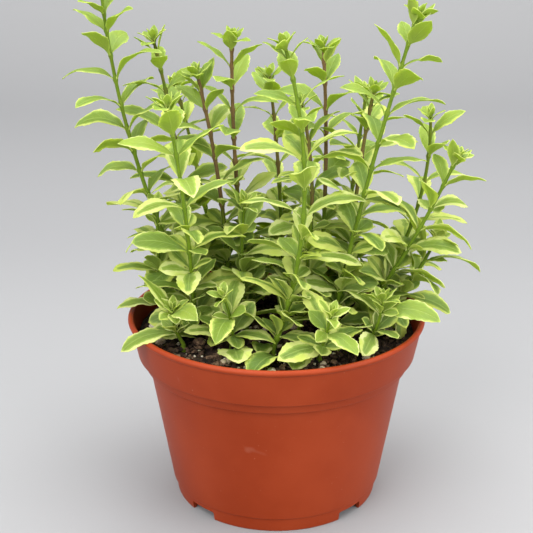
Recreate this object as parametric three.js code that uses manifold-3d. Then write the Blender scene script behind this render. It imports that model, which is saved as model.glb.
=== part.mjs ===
// A bushy, upright, variegated lipstick plant in a round plastic nursery pot. Millimetres, +Z up.
// The origin is the middle of the pot's foot, on the surface it stands on, and -Y is the front.
// The plant is a clump of rooted shoots. A shoot is one grown piece: a stem and the leaves that sit on
// it in opposite pairs, each pair turned a quarter turn from the pair below. Single leaves that rise
// straight from the crown, and the loose chips on the potting mix, are pieces of their own.
import * as THREE from 'three';
import { mergeVertices } from 'three/addons/utils/BufferGeometryUtils.js';
import Module from 'manifold-3d';

const wasm = await Module();
wasm.setup();

// ---- Driving dimensions -------------------------------------------------------------------------

const RIM_RADIUS = 82.5;
const POT_HEIGHT = 106;
const FOOT_RADIUS = 57.4;
const WALL = 2.1;
const FOOT_HEIGHT = 5.5;
const POT_SIDES = 40;
const NOTCH = { count: 4, width: 17, height: 5, depth: 12 };
const DRAIN = { count: 8, radius: 1.9, fromAxis: 36 };

const GAP = 0.35; // between two pieces that touch
const SOIL_TOP = 95.5;
const SOIL_SIDES = 30;
const ROOTED_DEPTH = 14;
const COLLAR = SOIL_TOP + 4.2; // where a stem leaves its upright root, above the highest heave of the mix

const STEM_SIDES = 5;
const STEM_STEPS = 6;
const BLADE_THICKNESS = 0.8;
const SMALLEST_LEAF = 13; // the young leaves at a shoot's tip that are shorter than this are left out
const MAX_OVERLAP = 1e-4;
const SLIVER = 0.02; // faces finer than this, left where a leaf joins its stem, are merged away

const degrees = THREE.MathUtils.degToRad;
const vec = (x, y, z) => new THREE.Vector3(x, y, z);

// Where each shoot is rooted, where its tip is, how far its middle bows aside, its stem's radius at the
// root, and the turn of its lowest pair of leaves.
const SHOOTS = [
  { root: [-2, -40], tip: [3, -30, 258], bow: [13, -3], radius: 2.0, turn: 0 },
  { root: [-45, -11], tip: [-55, -30, 228], bow: [3, -6], radius: 1.95, turn: 10 },
  { root: [29, -22], tip: [70, -15, 271], bow: [-3, -4], radius: 1.95, turn: 20 },
  { root: [-43, 8], tip: [-91.4, 12, 286], bow: [-10, 2], radius: 1.9, turn: 60 },
  { root: [-27, 22], tip: [-43, 18, 236], bow: [4, -2], radius: 2.0, turn: 35 },
  { root: [-15, 28], tip: [-24, 22, 254], bow: [-3, 2], radius: 2.0, turn: 80 },
  { root: [24, 24], tip: [25, 26, 249], bow: [3, 0], radius: 2.0, turn: 50 },
  { root: [-52, 24], tip: [-66, 20, 254], bow: [5, 4], radius: 1.9, turn: 11 },
  { root: [42, 16], tip: [52, 12, 228], bow: [-3, 3], radius: 2.0, turn: 75 },
  { root: [44, -6], tip: [95.5, -6, 196], bow: [2, -4], radius: 1.9, turn: 40 },
  { root: [54, 24], tip: [84, 22, 212], bow: [10, 2], radius: 1.9, turn: 5 },
  { root: [10, 6], tip: [13, 8, 221], bow: [8, 4], radius: 1.9, turn: 30 },
  { root: [-17, -4], tip: [-17, -7, 171], bow: [-2, 2], radius: 1.9, turn: 65 },
  { root: [4, 50], tip: [-4, 53, 229], bow: [2, 6], radius: 1.9, turn: 20 },
  { root: [38, 46], tip: [52, 58, 218], bow: [0, 5], radius: 1.9, turn: 55 },
  { root: [-34, 48], tip: [-58, 60, 222], bow: [2, 4], radius: 1.9, turn: 80 },
  { root: [58, 4], tip: [88, 0, 150], bow: [2, -3], radius: 1.8, turn: 84 },
  { root: [-62, 6], tip: [-64, 0, 168], bow: [-2, 0], radius: 1.7, turn: 25 },
  { root: [-50, -32], tip: [-54, -38, 122], bow: [-2, 0], radius: 1.6, turn: 45 },
  { root: [-24, -34], tip: [-28, -44, 132], bow: [2, -2], radius: 1.6, turn: 0 },
  { root: [22, -48], tip: [27, -62, 129], bow: [0, -2], radius: 1.6, turn: 30 },
  { root: [48, -31], tip: [55, -37, 128], bow: [2, -2], radius: 1.6, turn: 60 },
  { root: [12, -14], tip: [16, -20, 150], bow: [2, 0], radius: 1.7, turn: 15 },
  { root: [0, 60], tip: [6, 65, 154], bow: [0, 2], radius: 1.6, turn: 40 },
];

// How a pair of leaves looks by its place on the stem, from the root (0) to the tip (1): length and
// width of the blade, its rise above the level at the stem, how far it arches over, and the way up to
// the next pair.
const HABIT = [
  { at: 0.0, long: 25, wide: 11.5, rise: 28, arch: 42, next: 9 },
  { at: 0.3, long: 30, wide: 12, rise: 38, arch: 60, next: 12 },
  { at: 0.7, long: 33, wide: 10.5, rise: 50, arch: 66, next: 14.5 },
  { at: 0.88, long: 23, wide: 8.5, rise: 54, arch: 42, next: 10 },
  { at: 1.0, long: 9, wide: 4, rise: 66, arch: 12, next: 5 },
];
const FIRST_PAIR = 7; // above the potting mix
const TIP_ROOM = 3;

// What a leaf does when its way is barred, tried in this order: turn about the stem and lift, in
// degrees, and a share of its full length. A leaf that finds no room isn't grown.
const WAYS = [
  [0, 0, 1], [14, 0, 1], [-14, 0, 1], [0, 14, 1], [0, -12, 1], [24, 10, 0.9],
  [-24, 10, 0.9], [0, 24, 0.9], [32, 0, 0.8], [-32, 0, 0.8], [0, 0, 0.7], [18, 28, 0.7],
  [-18, 28, 0.7],
];

// Where a blade is cut across, as shares of its length, and how wide it is there.
const BLADE_STATIONS = [0.4, 0.74];
const FOLD = degrees(14);

const BASAL = { count: 18, ring: 50, long: 28, wide: 12.5, rise: 46, arch: 55 };
const CHIPS = { count: 12, ring: 66, size: 2.6 };

// ---- Helpers ------------------------------------------------------------------------------------

// A repeatable number from 0 to 1 for each seed.
function chance(seed) {
  const x = Math.sin(seed * 12.9898 + 4.1414) * 43758.5453;
  return x - Math.floor(x);
}

const spread = (seed, amount) => (chance(seed) * 2 - 1) * amount;

function solidOf(geometry) {
  const plain = geometry.clone();
  plain.deleteAttribute('normal');
  plain.deleteAttribute('uv');
  const merged = mergeVertices(plain, 1e-4);
  const triVerts = new Uint32Array(merged.index.array);
  const vertProperties = merged.attributes.position.array;
  return new wasm.Manifold(new wasm.Mesh({ numProp: 3, vertProperties, triVerts }));
}

function geometryOf(solid) {
  const mesh = solid.getMesh();
  const geometry = new THREE.BufferGeometry();
  geometry.setAttribute('position', new THREE.BufferAttribute(mesh.vertProperties, 3));
  geometry.setIndex(new THREE.BufferAttribute(mesh.triVerts, 1));
  geometry.computeVertexNormals();
  return geometry;
}

function lathe(profile, sides) {
  const points = profile.map(([radius, height]) => new THREE.Vector2(radius, height));
  return new THREE.LatheGeometry(points, sides).rotateX(Math.PI / 2);
}

function cylinder(radius, height, sides, x, y, z) {
  const geometry = new THREE.CylinderGeometry(radius, radius, height, sides).rotateX(Math.PI / 2);
  return geometry.translate(x, y, z);
}

// ---- Pot ----------------------------------------------------------------------------------------

// Inner radius of the pot's wall at a height, from the same corners as the pot's own profile.
const INNER = [[55.8, 7.5], [57.8, 10], [69.4, 77.4], [72, 79], [75.4, 86], [78.7, 103], [79.4, 105.5]];

function potGeometry() {
  const outer = [
    [FOOT_RADIUS, 0],
    [FOOT_RADIUS + 1, 8],
    [FOOT_RADIUS + 2.3, 8.8],
    [71.5, 78.5],
    [74, 79.2],
    [75.2, 84.2],
    [77.4, 84.8],
    [81, 102.8],
    [RIM_RADIUS - 0.4, 103.4],
    [RIM_RADIUS, 104.6],
    [RIM_RADIUS - 0.9, POT_HEIGHT],
    [RIM_RADIUS - 2.2, POT_HEIGHT],
  ];
  const underside = [[0, 7.5], [0, FOOT_HEIGHT], [FOOT_RADIUS - 3.4, FOOT_HEIGHT], [FOOT_RADIUS - WALL, 0]];
  const profile = [...outer, ...[...INNER].reverse(), ...underside, outer[0]];
  let pot = solidOf(lathe(profile, POT_SIDES));
  for (let i = 0; i < NOTCH.count; i++) {
    const angle = degrees(45 + (360 / NOTCH.count) * i);
    const notch = new THREE.BoxGeometry(NOTCH.depth, NOTCH.width, NOTCH.height * 2);
    notch.translate(FOOT_RADIUS, 0, 0).rotateZ(angle);
    pot = pot.subtract(solidOf(notch));
  }
  for (let i = 0; i < DRAIN.count; i++) {
    const angle = degrees((360 / DRAIN.count) * i);
    const [x, y] = [Math.cos(angle) * DRAIN.fromAxis, Math.sin(angle) * DRAIN.fromAxis];
    pot = pot.subtract(solidOf(cylinder(DRAIN.radius, 6, 12, x, y, 6.5)));
  }
  return geometryOf(pot);
}

// ---- Potting mix --------------------------------------------------------------------------------

function soilHeight(x, y) {
  const calm = 1 - Math.min(1, Math.hypot(x, y) / 76) ** 4;
  const heave = Math.sin(x / 10 + 0.6) * Math.cos(y / 8.5) + 0.6 * Math.sin((x - 1.7 * y) / 7);
  return SOIL_TOP + calm * (1.2 + heave);
}

function soilGeometry() {
  const inside = INNER.slice(0, 5).map(([radius, height]) => [radius - GAP, height + GAP]);
  const rings = [76.4, 64, 50, 35, 18];
  const profile = [[0, 7.5 + GAP], ...inside, ...rings.map((radius) => [radius, SOIL_TOP]), [0, SOIL_TOP]];
  const geometry = lathe(profile, SOIL_SIDES);
  const position = geometry.attributes.position;
  for (let i = 0; i < position.count; i++) {
    if (position.getZ(i) < SOIL_TOP - 0.01) continue;
    position.setZ(i, soilHeight(position.getX(i), position.getY(i)));
  }
  return geometry;
}

// ---- Shoots -------------------------------------------------------------------------------------

function stemPath({ root, tip, bow }) {
  const start = vec(root[0], root[1], COLLAR);
  const end = vec(...tip);
  const middle = start.clone().add(end).multiplyScalar(0.5).add(vec(bow[0], bow[1], 0));
  const control = middle.multiplyScalar(2).sub(start.clone().add(end).multiplyScalar(0.5));
  return new THREE.QuadraticBezierCurve3(start, control, end);
}

// Two directions square to the stem at a point of its path, and the stem's own direction.
function frameAt(path, t) {
  const along = path.getTangent(t).normalize();
  const across = vec(1, 0, 0).addScaledVector(along, -along.x).normalize();
  return { origin: path.getPoint(t), along, across, aside: along.clone().cross(across) };
}

const stemRadius = (shoot, t) => shoot.radius * (1 - 0.35 * t);

// An upright length from above the collar to the bottom of the root.
function rootGeometry(shoot, gap) {
  const top = COLLAR + 1.2 + gap;
  const bottom = SOIL_TOP - ROOTED_DEPTH - gap;
  const [x, y] = shoot.root;
  return cylinder(shoot.radius + gap, top - bottom, STEM_SIDES, x, y, (top + bottom) / 2);
}

// The stem above the mix, bent from a straight cylinder, and the rooted length below it.
function stemSolid(shoot, path) {
  const geometry = new THREE.CylinderGeometry(1, 1, 1, STEM_SIDES, STEM_STEPS).rotateX(Math.PI / 2);
  const position = geometry.attributes.position;
  for (let i = 0; i < position.count; i++) {
    const t = position.getZ(i) + 0.5;
    const { origin, across, aside } = frameAt(path, t);
    const radius = stemRadius(shoot, t);
    origin.addScaledVector(across, position.getX(i) * radius);
    origin.addScaledVector(aside, position.getY(i) * radius);
    position.setXYZ(i, origin.x, origin.y, origin.z);
  }
  return solidOf(geometry).add(solidOf(rootGeometry(shoot, 0)));
}

// A pair's look at a place on the stem, between the two nearest lines of HABIT.
function habitAt(t) {
  const upper = Math.max(1, HABIT.findIndex((line) => line.at >= t));
  const [a, b] = [HABIT[upper - 1], HABIT[upper]];
  const share = (t - a.at) / (b.at - a.at);
  const between = (key) => THREE.MathUtils.lerp(a[key], b[key], share);
  return {
    long: between('long'), wide: between('wide'), rise: between('rise'), arch: between('arch'),
    next: between('next'),
  };
}

// How wide a blade is, from 0 to 1, at a share of its length.
function outline(t) {
  const u = Math.max(0, (t - 0.08) / 0.92);
  const widest = 0.58;
  const blunt = 0.75;
  return (u / widest) ** ((blunt * widest) / (1 - widest)) * ((1 - u) / (1 - widest)) ** blunt;
}

// A blade as a closed solid: a point at the foot, a flat folded lozenge at each station, a point at
// the tip. It leaves base in the direction out, risen by rise above it towards up, and arches over.
function bladeSolid({ base, out, up, long, wide, rise, arch, roll }) {
  const aside = up.clone().cross(out).normalize();
  const pointAt = (t) => {
    const turned = rise - arch * t;
    const forward = ((Math.sin(rise) - Math.sin(turned)) / arch) * long;
    const lifted = ((Math.cos(turned) - Math.cos(rise)) / arch) * long;
    return base.clone().addScaledVector(out, forward).addScaledVector(up, lifted);
  };
  const normalAt = (t) => {
    const turned = rise - arch * t;
    return up.clone().multiplyScalar(Math.cos(turned)).addScaledVector(out, -Math.sin(turned));
  };
  const points = [pointAt(0)];
  for (const t of BLADE_STATIONS) {
    const normal = normalAt(t);
    const side = aside.clone().multiplyScalar(Math.cos(roll)).addScaledVector(normal, Math.sin(roll));
    normal.multiplyScalar(Math.cos(roll)).addScaledVector(aside, -Math.sin(roll));
    const half = (wide / 2) * outline(t);
    const centre = pointAt(t);
    const corner = (s, n) => centre.clone().addScaledVector(side, s).addScaledVector(normal, n);
    points.push(
      corner(half * Math.cos(FOLD), half * Math.sin(FOLD)),
      corner(0, BLADE_THICKNESS / 2),
      corner(-half * Math.cos(FOLD), half * Math.sin(FOLD)),
      corner(0, -BLADE_THICKNESS / 2),
    );
  }
  points.push(pointAt(1));
  const faces = [];
  const last = points.length - 1;
  for (let i = 0; i < 4; i++) {
    const j = (i + 1) % 4;
    faces.push(0, 1 + j, 1 + i);
    faces.push(1 + i, 1 + j, 5 + j, 1 + i, 5 + j, 5 + i);
    faces.push(5 + i, 5 + j, last);
  }
  const geometry = new THREE.BufferGeometry().setFromPoints(points);
  geometry.setIndex(faces);
  return solidOf(geometry);
}

const grown = []; // every solid that a new leaf has to keep clear of, with the shoot it belongs to

function touches(solid, owner) {
  const box = solid.boundingBox();
  const apart = (other) => [0, 1, 2].some((k) => box.min[k] > other.max[k] || box.max[k] < other.min[k]);
  return grown.some((other) => {
    if ((other.stem && other.owner === owner) || apart(other.box)) return false;
    return solid.intersect(other.solid).volume() > MAX_OVERLAP;
  });
}

function remember(solid, owner, stem = false) {
  grown.push({ solid, owner, stem, box: solid.boundingBox() });
}

// The first way in which a leaf finds room, or null.
function growLeaf(leaf, owner) {
  for (const [turn, lift, share] of WAYS) {
    const out = leaf.out.clone().applyAxisAngle(leaf.up, degrees(turn));
    const base = leaf.origin.clone().addScaledVector(out, leaf.fromAxis);
    const solid = bladeSolid({
      ...leaf, base, out, rise: degrees(leaf.rise + lift), arch: degrees(leaf.arch),
      roll: degrees(leaf.roll), long: leaf.long * share, wide: leaf.wide * (0.4 + 0.6 * share),
    });
    if (touches(solid, owner)) continue;
    remember(solid, owner);
    return solid;
  }
  return null;
}

// The leaves of a shoot, pair by pair from the root up, as growLeaf takes them.
function leavesOf(shoot, path, number) {
  const leaves = [];
  const length = path.getLength();
  let height = FIRST_PAIR;
  for (let pair = 0; height < length - TIP_ROOM; pair++) {
    const t = height / length;
    const habit = habitAt(t);
    const { origin, along, across, aside } = frameAt(path, t);
    for (const half of [0, 1]) {
      const seed = number * 100 + pair * 2 + half;
      const angle = degrees(shoot.turn + 90 * pair + 180 * half + spread(seed, 12));
      const out = across.clone().multiplyScalar(Math.cos(angle)).addScaledVector(aside, Math.sin(angle));
      const size = 1 + spread(seed + 0.3, 0.14);
      leaves.push({
        origin, out, up: along.clone(), fromAxis: stemRadius(shoot, t) * 0.4,
        long: habit.long * size, wide: habit.wide * size,
        rise: habit.rise + spread(seed + 0.5, 9), arch: habit.arch + spread(seed + 0.7, 14),
        roll: spread(seed + 0.9, 12),
      });
    }
    height += habit.next * (1 + spread(number * 100 + pair + 0.2, 0.12));
  }
  return leaves;
}

// ---- The whole plant ----------------------------------------------------------------------------

const plant = new THREE.Group();
const TERRACOTTA = new THREE.MeshStandardMaterial({ color: 0xb4502f, roughness: 0.5, metalness: 0 });
const EARTH = new THREE.MeshStandardMaterial({ color: 0x2e211a, roughness: 1, metalness: 0 });
const FOLIAGE = new THREE.MeshStandardMaterial({ color: 0x86a850, roughness: 0.55, metalness: 0 });
const BARK = new THREE.MeshStandardMaterial({ color: 0x8a5a3c, roughness: 0.9, metalness: 0 });
const PERLITE = new THREE.MeshStandardMaterial({ color: 0xdedacb, roughness: 0.9, metalness: 0 });

function addPiece(name, geometry, material) {
  const piece = new THREE.Mesh(geometry, material);
  piece.name = name;
  plant.add(piece);
}

const twoDigits = (n) => String(n).padStart(2, '0');

const pot = potGeometry();
addPiece('pot', pot, TERRACOTTA);
remember(solidOf(pot), 'pot');

const stems = SHOOTS.map((shoot) => {
  const path = stemPath(shoot);
  return { shoot, path, solid: stemSolid(shoot, path) };
});
stems.forEach(({ solid }, i) => remember(solid, i, true));

let mix = solidOf(soilGeometry());
for (const { shoot } of stems) {
  mix = mix.subtract(solidOf(rootGeometry(shoot, GAP)));
}
addPiece('potting_mix', geometryOf(mix), EARTH);
remember(mix, 'potting_mix');

let leafCount = 0;
stems.forEach(({ shoot, path, solid }, i) => {
  let whole = solid;
  for (const leaf of leavesOf(shoot, path, i + 1)) {
    if (leaf.long < SMALLEST_LEAF) continue;
    const blade = growLeaf(leaf, i);
    if (!blade) continue;
    whole = whole.add(blade);
    leafCount++;
  }
  addPiece('shoot_' + twoDigits(i + 1), geometryOf(whole.simplify(SLIVER)), FOLIAGE);
});

// Single leaves from the crown, spread round the pot between the shoots.
for (let i = 0, made = 0; made < BASAL.count && i < BASAL.count * 4; i++) {
  const seed = 5000 + i;
  const angle = degrees(i * 137.5 - 90);
  const from = BASAL.ring * (0.55 + 0.45 * chance(seed));
  const origin = vec(Math.cos(angle) * from, Math.sin(angle) * from, 0);
  origin.z = soilHeight(origin.x, origin.y) + GAP + 0.6;
  const facing = angle + degrees(spread(seed + 0.2, 50));
  const size = 1 + spread(seed + 0.4, 0.2);
  const blade = growLeaf({
    origin, out: vec(Math.cos(facing), Math.sin(facing), 0), up: vec(0, 0, 1), fromAxis: 0,
    long: BASAL.long * size, wide: BASAL.wide * size, rise: BASAL.rise + spread(seed + 0.6, 14),
    arch: BASAL.arch, roll: spread(seed + 0.8, 15),
  }, 'basal_' + i);
  if (!blade) continue;
  made++;
  addPiece('basal_leaf_' + twoDigits(made), geometryOf(blade), FOLIAGE);
}

// Loose chips that lie on the mix: bark and perlite by turns.
for (let i = 0, made = 0; made < CHIPS.count && i < CHIPS.count * 6; i++) {
  const seed = 7000 + i;
  const angle = degrees(i * 137.5 - 60);
  const from = CHIPS.ring * (0.75 + 0.3 * chance(seed));
  const size = CHIPS.size * (1 + spread(seed + 0.2, 0.35));
  const [x, y] = [Math.cos(angle) * from, Math.sin(angle) * from];
  const chip = new THREE.IcosahedronGeometry(size, 0).scale(1.25, 0.95, 0.7);
  chip.rotateZ(seed).translate(x, y, soilHeight(x, y) + size * 0.7 + GAP);
  const solid = solidOf(chip);
  if (touches(solid, 'chip_' + i)) continue;
  remember(solid, 'chip_' + i);
  made++;
  const bark = made % 2 === 1;
  const name = (bark ? 'bark_chip_' : 'perlite_grain_') + twoDigits(Math.ceil(made / 2));
  addPiece(name, geometryOf(solid), bark ? BARK : PERLITE);
}

export default plant;
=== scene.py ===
# %% [markdown]
# # A variegated lipstick plant in a nursery pot
# The object is a clump of upright shoots in a round plastic pot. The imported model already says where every
# piece is and how big it is. This lesson gives each piece its real look: a turned and notched pot, crumbly
# potting mix, round stems, and toothed, cream-edged leaves that are thin enough to let light through.
#
# Everything is in metres, +Z up, with the front of the plant towards -Y.

# %% Load the frame
import math
import random

import bmesh
import bpy
import numpy as np
from mathutils import Matrix, Vector, noise
from mathutils.bvhtree import BVHTree


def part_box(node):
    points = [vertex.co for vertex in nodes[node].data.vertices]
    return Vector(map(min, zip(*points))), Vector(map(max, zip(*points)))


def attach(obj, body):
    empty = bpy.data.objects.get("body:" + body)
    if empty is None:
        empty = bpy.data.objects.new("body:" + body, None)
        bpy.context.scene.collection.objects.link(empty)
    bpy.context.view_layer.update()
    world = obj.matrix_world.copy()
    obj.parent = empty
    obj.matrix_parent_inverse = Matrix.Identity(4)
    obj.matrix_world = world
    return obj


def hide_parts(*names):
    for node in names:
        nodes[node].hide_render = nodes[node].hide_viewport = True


MM = 0.001
BODY = "root"
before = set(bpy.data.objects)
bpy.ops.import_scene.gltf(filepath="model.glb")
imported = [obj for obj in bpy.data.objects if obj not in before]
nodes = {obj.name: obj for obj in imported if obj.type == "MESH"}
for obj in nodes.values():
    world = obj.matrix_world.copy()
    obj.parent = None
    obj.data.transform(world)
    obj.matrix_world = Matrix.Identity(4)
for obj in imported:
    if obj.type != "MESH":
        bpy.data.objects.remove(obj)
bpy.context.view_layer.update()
pot_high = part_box("pot")[1]
mix_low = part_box("potting_mix")[0]
RIM_RADIUS = pot_high.x
POT_HEIGHT = pot_high.z
print(f"{len(nodes)} nodes, rim {2000 * RIM_RADIUS:.0f} mm across, pot {1000 * POT_HEIGHT:.0f} mm tall")

# %% [markdown]
# ## Camera and studio
# The camera stands a little above the rim and looks slightly down, so that the mix shows inside the pot.
# A long lens keeps the stems from fanning out. The floor runs up into a wall in one sweep, because a
# corner behind a plant would draw a line through its leaves. Thin leaves need light from behind as well
# as from the front: a large soft lamp above and behind makes their undersides glow.

# %% The camera
LENS_MM = 74.3
CAMERA_DISTANCE = 0.606
CAMERA_ELEVATION = math.radians(19.4)
AIM = Vector((-5.5 * MM, 0, 131.8 * MM))

camera_data = bpy.data.cameras.new("camera")
camera_data.lens = LENS_MM
camera_data.sensor_width = 36
camera_data.clip_start = 0.05
camera = bpy.data.objects.new("camera", camera_data)
bpy.context.collection.objects.link(camera)
backward = Vector((0, -math.cos(CAMERA_ELEVATION), math.sin(CAMERA_ELEVATION)))
camera.location = AIM + backward * CAMERA_DISTANCE
camera.rotation_euler = (-backward).to_track_quat("-Z", "Y").to_euler()
bpy.context.scene.camera = camera


# %% Lamps and sky
PLANT_MIDDLE = Vector((0, 0, 0.14))


def add_lamp(name, place, size, watts):
    """A square soft lamp that points at the middle of the plant."""
    lamp = bpy.data.lights.new(name, "AREA")
    lamp.size = size
    lamp.energy = watts
    holder = bpy.data.objects.new(name, lamp)
    bpy.context.collection.objects.link(holder)
    holder.location = place
    toward = PLANT_MIDDLE - Vector(place)
    holder.rotation_euler = toward.to_track_quat("-Z", "Y").to_euler()


add_lamp("key_lamp", (-0.9, -1.2, 1.5), 1.3, 31)
add_lamp("top_lamp", (0.2, 0.3, 1.7), 1.5, 37)
add_lamp("fill_lamp", (1.5, -1.0, 0.9), 1.3, 22)

world = bpy.data.worlds.new("studio")
world.use_nodes = True
sky = world.node_tree.nodes["Background"]
sky.inputs["Color"].default_value = (0.97, 0.98, 1.0, 1)
sky.inputs["Strength"].default_value = 1.45
bpy.context.scene.world = world
bpy.context.scene.view_settings.view_transform = "Standard"
print("three lamps and a pale sky")

# %% [markdown]
# ## Small tools
# Every piece starts in a bmesh. These helpers put it in the scene, and write node materials tersely.


# %% Pieces from a bmesh
def finish_piece(name, bm, materials, smooth_angle=None):
    """A finished object at the origin from a bmesh: smooth, with edges sharper than smooth_angle kept."""
    mesh = bpy.data.meshes.new(name)
    bm.to_mesh(mesh)
    bm.free()
    for material in materials:
        mesh.materials.append(material)
    mesh.shade_smooth()
    if smooth_angle is not None:
        mesh.set_sharp_from_angle(angle=math.radians(smooth_angle))
    piece = bpy.data.objects.new(name, mesh)
    bpy.context.collection.objects.link(piece)
    return piece


def settle(piece, slot, *replaced):
    """The piece rides with the pot and stands for its CAD nodes."""
    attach(piece, BODY)
    if replaced:
        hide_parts(*replaced)
    return piece


# %% Node materials
class Recipe:
    """A material under construction. Each call adds a node and gives back its output."""

    def __init__(self, name):
        self.material = bpy.data.materials.new(name)
        self.material.use_nodes = True
        self.tree = self.material.node_tree
        self.shader = self.tree.nodes["Principled BSDF"]
        self.output = self.tree.nodes["Material Output"]

    def node(self, kind, **settings):
        made = self.tree.nodes.new(kind)
        for key, value in settings.items():
            setattr(made, key, value)
        return made

    def link(self, source, target):
        self.tree.links.new(source, target)

    def feed(self, socket, value):
        """Sets an input to a number or colour, or links it to an output."""
        if isinstance(value, bpy.types.NodeSocket):
            self.link(value, socket)
        elif isinstance(value, (tuple, list)) and len(value) == 3 and socket.type == "RGBA":
            socket.default_value = (*value, 1)
        else:
            socket.default_value = value

    def math(self, operation, a, b=0.0, c=0.0):
        made = self.node("ShaderNodeMath", operation=operation)
        for socket, value in zip(made.inputs, (a, b, c)):
            self.feed(socket, value)
        return made.outputs[0]

    def step(self, value, low, high):
        """0 below low, 1 above high, and smooth between them."""
        made = self.node("ShaderNodeMapRange", interpolation_type="SMOOTHSTEP")
        self.feed(made.inputs["Value"], value)
        self.feed(made.inputs["From Min"], low)
        self.feed(made.inputs["From Max"], high)
        return made.outputs["Result"]

    def mix(self, share, a, b):
        made = self.node("ShaderNodeMix", data_type="RGBA")
        for socket, value in ((made.inputs[0], share), (made.inputs[6], a), (made.inputs[7], b)):
            self.feed(socket, value)
        return made.outputs[2]

    def noise(self, scale, detail=3.0, vector=None, roughness=0.55):
        made = self.node("ShaderNodeTexNoise")
        self.feed(made.inputs["Scale"], scale)
        self.feed(made.inputs["Detail"], detail)
        self.feed(made.inputs["Roughness"], roughness)
        self.feed(made.inputs["Vector"], vector or self.object_place())
        return made.outputs["Fac"]

    def object_place(self):
        return self.node("ShaderNodeTexCoord").outputs["Object"]

    def bump(self, height, strength, distance):
        made = self.node("ShaderNodeBump")
        self.feed(made.inputs["Height"], height)
        self.feed(made.inputs["Strength"], strength)
        self.feed(made.inputs["Distance"], distance)
        self.link(made.outputs["Normal"], self.shader.inputs["Normal"])
        return made.outputs["Normal"]


# %% The studio floor
SWEEP_STEPS = 16
SWEEP_RADIUS = 0.9
SWEEP_START = 1.1
FLOOR_HALF_WIDTH = 3.0
WALL_RISE = 3.0
# Painted shade and painted light: the lamps light the middle of the floor most, so the paper is painted
# darker there, and it is painted lighter up the wall, which they light least.
FRONT_TONE = (0.264, 0.264, 0.267)
MIDDLE_PAINTED_SHADE = (0.211, 0.211, 0.214)
WALL_PAINTED_LIGHT = (0.278, 0.277, 0.278)

studio = Recipe("studio_paper")
position = studio.node("ShaderNodeSeparateXYZ")
studio.link(studio.object_place(), position.inputs[0])
depth = position.outputs["Y"]
# Painted shade from the front into the middle of the floor, then painted light up the sweep and the wall.
tone = studio.mix(studio.step(depth, 0.0, 0.5), FRONT_TONE, MIDDLE_PAINTED_SHADE)
tone = studio.mix(studio.step(depth, 0.9, 2.0), tone, WALL_PAINTED_LIGHT)
studio.link(tone, studio.shader.inputs["Base Color"])
studio.feed(studio.shader.inputs["Roughness"], 0.9)

bm = bmesh.new()
bmesh.ops.create_grid(bm, x_segments=1, y_segments=1, size=FLOOR_HALF_WIDTH)
back = [v for v in bm.verts if v.co.y > 0]
for vert in back:
    vert.co.y = SWEEP_START
back_edge = back + [e for e in bm.edges if all(v in back for v in e.verts)]
bmesh.ops.spin(
    bm, geom=back_edge, cent=(0, SWEEP_START, SWEEP_RADIUS), axis=(1, 0, 0), dvec=(0, 0, 0),
    angle=math.radians(90), steps=SWEEP_STEPS, use_merge=False, use_duplicate=False,
)
top_edge = [e for e in bm.edges if all(v.co.z > SWEEP_RADIUS - 0.01 for v in e.verts)]
wall = bmesh.ops.extrude_edge_only(bm, edges=top_edge)["geom"]
raised = [v for v in wall if isinstance(v, bmesh.types.BMVert)]
bmesh.ops.translate(bm, vec=(0, 0, WALL_RISE), verts=raised)
floor = finish_piece("studio_floor", bm, [studio.material])
print("floor and wall in one sweep")

# %% [markdown]
# ## The pot
# A nursery pot is moulded in one piece of thin plastic: a rolled lip, a deep collar that nests on the pot
# below, a stepped band, a tapered body and a ring foot with four notches that let water out. It is a
# turned shape, so its section is drawn once and spun round. The section's corners are rounded first,
# because moulded plastic has no sharp corner and the small round catches the light. The notches and
# drain holes are cut out of the spun shape.

# %% The pot's section
POT_STEPS = 144
POT_WALL = 2.1 * MM
FOOT_HEIGHT = 5.5 * MM
FOOT_RADIUS = RIM_RADIUS - 25.1 * MM
FLOOR_TOP = 7.5 * MM


def rounded(corners, steps=3):
    """The corners, each given as (radius, height, round), with each round drawn as a short curve."""
    points = []
    for i, (x, z, soft) in enumerate(corners):
        here = Vector((x, 0, z))
        if soft == 0 or i in (0, len(corners) - 1):
            points.append(here)
            continue
        before = Vector((corners[i - 1][0], 0, corners[i - 1][1])) - here
        after = Vector((corners[i + 1][0], 0, corners[i + 1][1])) - here
        start = here + before.normalized() * min(soft, before.length * 0.45)
        end = here + after.normalized() * min(soft, after.length * 0.45)
        for k in range(steps + 1):
            t = k / steps
            points.append(start.lerp(here, t).lerp(here.lerp(end, t), t))
    return points


def turned(points, steps):
    """A section spun once round the upright axis, with its poles closed."""
    bm = bmesh.new()
    verts = [bm.verts.new(p) for p in points]
    edges = [bm.edges.new(pair) for pair in zip(verts, verts[1:])]
    bmesh.ops.spin(
        bm, geom=verts + edges, cent=(0, 0, 0), axis=(0, 0, 1), dvec=(0, 0, 0),
        angle=math.tau, steps=steps, use_merge=True, use_duplicate=False,
    )
    bmesh.ops.remove_doubles(bm, verts=bm.verts, dist=1e-6)
    bmesh.ops.recalc_face_normals(bm, faces=bm.faces)
    return bm


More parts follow.
